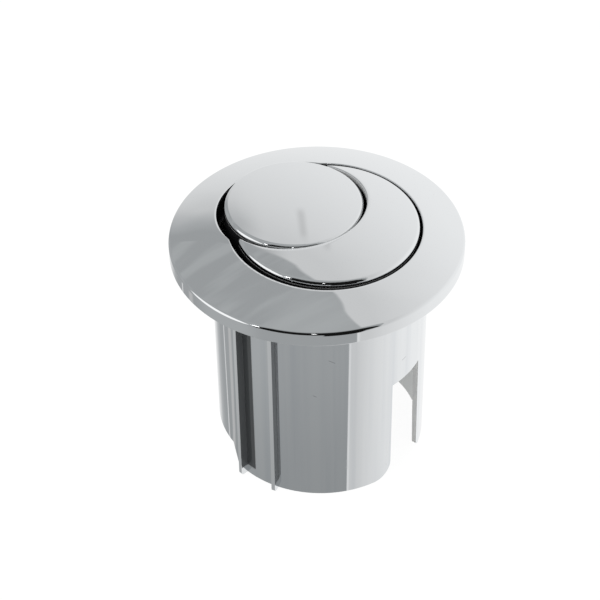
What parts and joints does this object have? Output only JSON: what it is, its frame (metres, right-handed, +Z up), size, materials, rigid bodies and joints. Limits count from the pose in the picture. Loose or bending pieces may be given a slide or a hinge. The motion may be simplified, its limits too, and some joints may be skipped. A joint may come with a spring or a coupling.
{
  "type": "push button cistern actuator",
  "caption": "Chrome dual-flush cistern push button: round small-flush cap and crescent full-flush cap in a domed flange on a slotted, finned sleeve, with springs and push rods below",
  "frame": {"origin": "on the sleeve's axis, in the plane where the flange's rim sits on the cistern lid", "axes": "+Z up out of the lid, +X towards the middle of the crescent button, +Y completes the right-handed set"},
  "size_m": [0.073, 0.073, 0.0719],
  "materials": {
    "chrome_plate": "bright chrome plating on plastic",
    "white_plastic": "moulded, satin",
    "rod_plastic": "moulded, satin",
    "steel": "drawn stainless wire and rod",
    "gasket_foam": "closed-cell foam"
  },
  "bodies": {
    "base": {"trim_flange": "chrome_plate", "sleeve": "chrome_plate", "seat_gasket": "gasket_foam", "guide_carrier": "white_plastic", "small_spring": "steel", "large_spring_front": "steel", "large_spring_rear": "steel"},
    "small_flush": {"small_button": "chrome_plate", "small_stem": "white_plastic", "small_clip": "steel", "small_push_rod": "rod_plastic", "small_lock_nut": "rod_plastic"},
    "full_flush": {"large_button": "chrome_plate", "large_stem": "white_plastic", "large_push_rod": "rod_plastic", "large_lock_nut": "rod_plastic", "large_guide_pin_front": "steel", "large_guide_pin_rear": "steel", "large_clip_front": "steel", "large_clip_rear": "steel"}
  },
  "joints": [
    {"name": "small_button_slide", "type": "slide", "parent": "base", "child": "small_flush", "axis": [0, 0, -1], "range_m": [0, 0.006], "stiffness_N_per_m": 600, "springref_m": -0.005, "deforming": ["small_spring"]},
    {"name": "large_button_slide", "type": "slide", "parent": "base", "child": "full_flush", "axis": [0, 0, -1], "range_m": [0, 0.006], "stiffness_N_per_m": 600, "springref_m": -0.005, "deforming": ["large_spring_front", "large_spring_rear"]}
  ]
}
